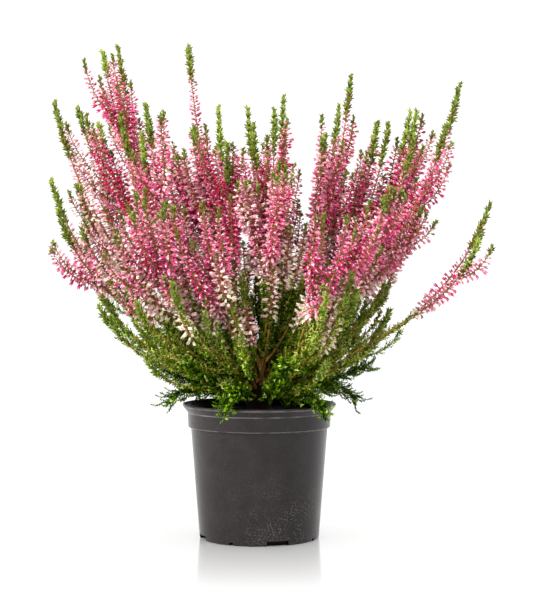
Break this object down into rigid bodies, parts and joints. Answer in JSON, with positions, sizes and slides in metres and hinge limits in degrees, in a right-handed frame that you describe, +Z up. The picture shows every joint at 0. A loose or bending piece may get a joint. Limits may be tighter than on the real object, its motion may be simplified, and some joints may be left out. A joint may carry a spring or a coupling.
{
  "type": "potted heather",
  "caption": "Flowering heather shrub in a round plastic nursery pot, a vase-shaped clump of upright pink flower spikes with leafy green tips, standing on the pot's flat base.",
  "frame": {"origin": "the middle of the pot's flat base, on the surface that it stands on", "axes": "+Z up, -Y the front that faces the viewer, +X to the viewer's right"},
  "size_m": [0.3103, 0.2267, 0.3575],
  "materials": {
    "pot_plastic": "satin moulded plastic, dark warm grey",
    "compost": "moist peat compost, rough and dark",
    "bark": "thin orange-brown bark, matt",
    "flower_spikes": "small pink to crimson and cream florets with green leaves, soft and matt",
    "leafy_shoots": "small green scale leaves, soft satin"
  },
  "bodies": {
    "root": {"pot": "pot_plastic", "compost": "compost", "trunk": "bark", "bough_left_low": "bark", "bough_left_high": "bark", "bough_back_left_high": "bark", "bough_left_inner": "bark", "bough_front_left": "bark", "bough_back_centre_left": "bark", "bough_centre_left": "bark", "bough_front_centre_left": "bark", "bough_back_centre": "bark", "bough_front_centre": "bark", "bough_centre_right": "bark", "bough_front_right": "bark", "bough_back_right_inner": "bark", "bough_right_inner": "bark", "bough_right_high": "bark", "bough_right_low": "bark", "bough_back_right_low": "bark", "bough_back_right": "bark", "bough_back_left": "bark", "bough_back_left_low": "bark", "spikes_left_low": "flower_spikes", "spikes_left_high": "flower_spikes", "spikes_back_left_high": "flower_spikes", "spikes_left_inner": "flower_spikes", "spikes_front_left": "flower_spikes", "spikes_back_centre_left": "flower_spikes", "spikes_centre_left": "flower_spikes", "spikes_front_centre_left": "flower_spikes", "spikes_back_centre": "flower_spikes", "spikes_front_centre": "flower_spikes", "spikes_centre_right": "flower_spikes", "spikes_front_right": "flower_spikes", "spikes_back_right_inner": "flower_spikes", "spikes_right_inner": "flower_spikes", "spikes_right_high": "flower_spikes", "spikes_right_low": "flower_spikes", "spikes_back_right_low": "flower_spikes", "spikes_back_right": "flower_spikes", "spikes_back_left": "flower_spikes", "spikes_back_left_low": "flower_spikes", "skirt_1": "leafy_shoots", "skirt_2": "leafy_shoots", "skirt_3": "leafy_shoots", "skirt_4": "leafy_shoots", "skirt_5": "leafy_shoots", "skirt_6": "leafy_shoots", "skirt_7": "leafy_shoots", "skirt_8": "leafy_shoots", "skirt_9": "leafy_shoots", "skirt_10": "leafy_shoots", "skirt_11": "leafy_shoots", "skirt_12": "leafy_shoots"}
  },
  "joints": []
}
